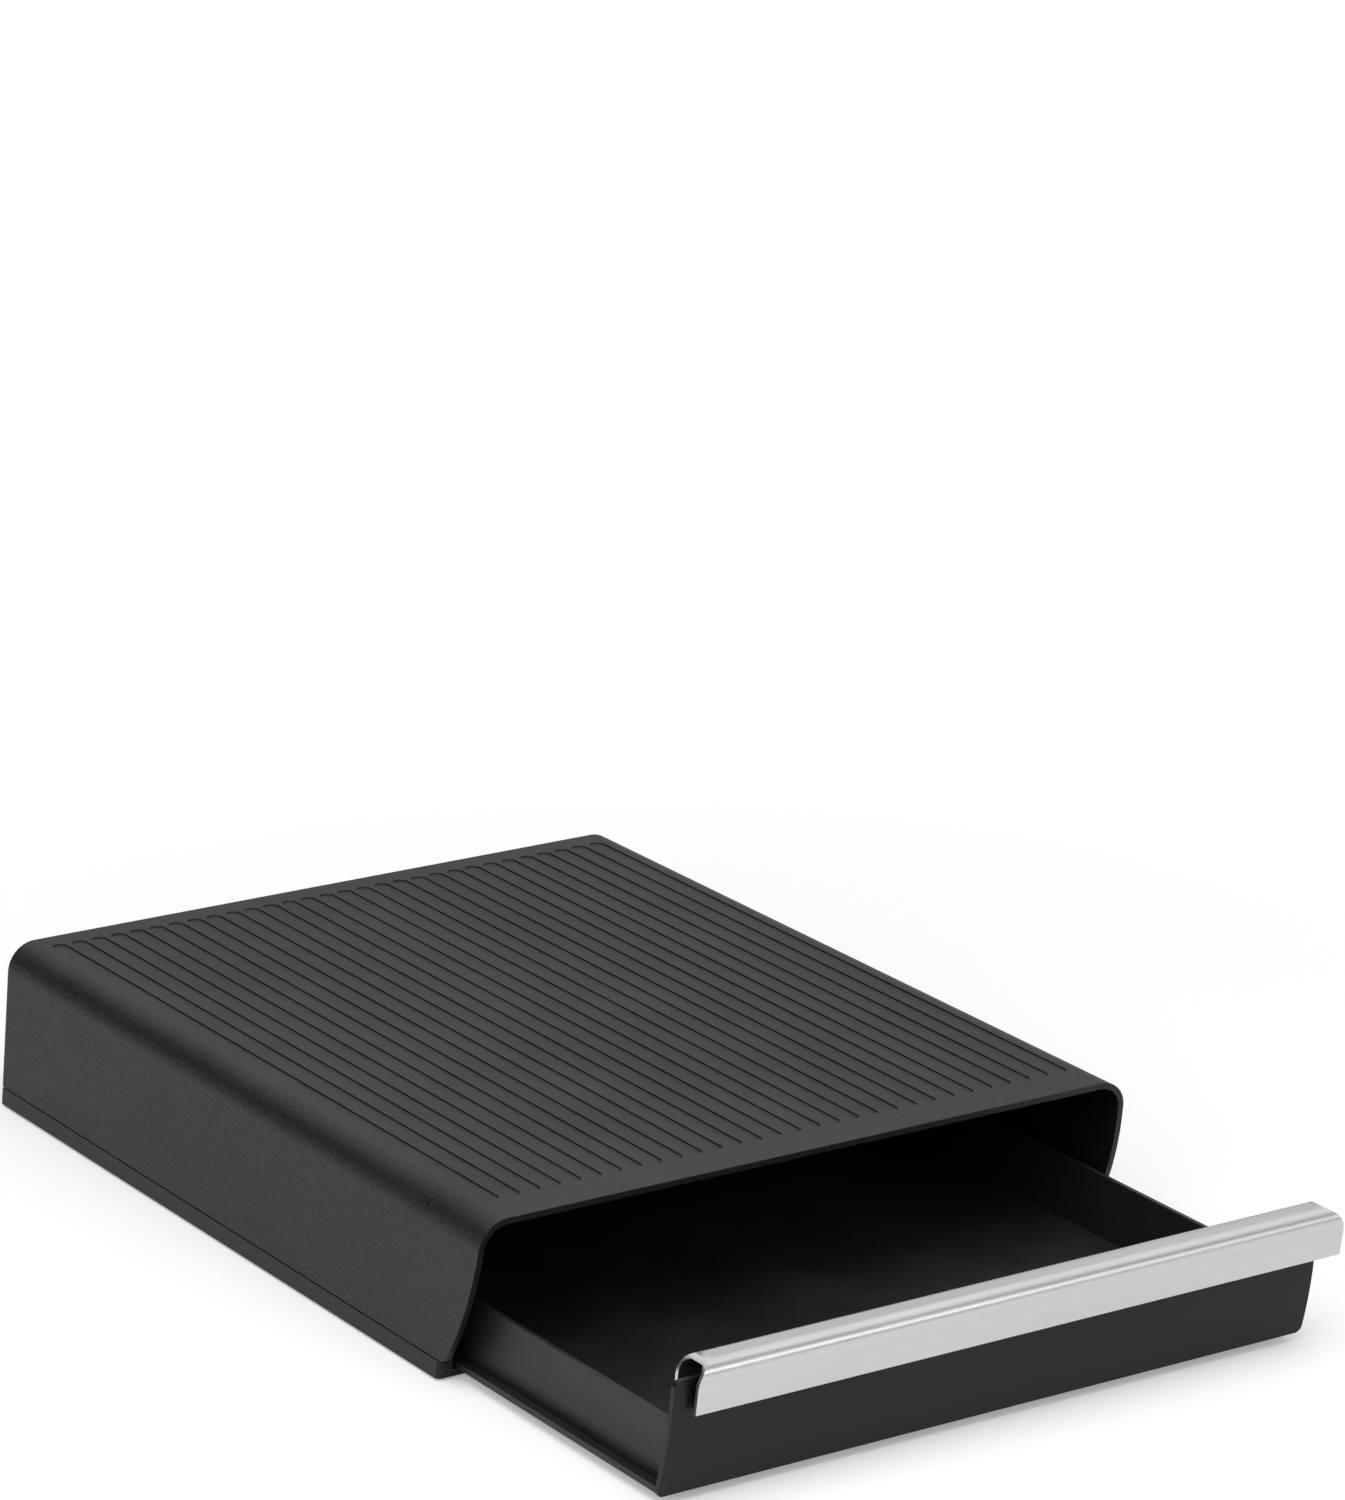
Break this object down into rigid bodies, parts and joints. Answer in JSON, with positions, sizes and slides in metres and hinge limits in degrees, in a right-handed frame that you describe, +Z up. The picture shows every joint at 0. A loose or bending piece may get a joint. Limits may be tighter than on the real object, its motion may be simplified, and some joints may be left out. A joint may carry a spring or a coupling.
{
  "type": "coffee pod drawer",
  "caption": "Low moulded housing that carries a coffee maker, with a sliding tray for coffee pods, a curved front panel and a metal grip bar.",
  "frame": {"origin": "centre of the footprint of the whole object with the drawer as in the picture, at the underside of the rubber pads", "axes": "+X to the right seen from the front, +Y from the drawer's front to the housing's back, +Z up"},
  "size_m": [0.272, 0.431, 0.0616],
  "materials": {
    "cover_plastic": "fine satin texture",
    "drawer_plastic": "satin",
    "pad_rubber": "matte",
    "screw_steel": "zinc plated",
    "bar_metal": "satin silver",
    "bar_foam": "foam"
  },
  "bodies": {
    "housing": {"top_cover": "cover_plastic", "rail_left": "cover_plastic", "rail_right": "cover_plastic", "rail_screws": "screw_steel", "pad_front_left": "pad_rubber", "pad_front_right": "pad_rubber", "pad_rear_left": "pad_rubber", "pad_rear_right": "pad_rubber"},
    "drawer": {"tray": "drawer_plastic", "front_panel": "drawer_plastic", "panel_screws": "screw_steel", "grip_bar": "bar_metal", "bar_foam": "bar_foam"}
  },
  "joints": [
    {"name": "drawer_slide", "type": "slide", "parent": "housing", "child": "drawer", "axis": [0, -1, 0], "range_m": [-0.0981, 0.108]}
  ]
}
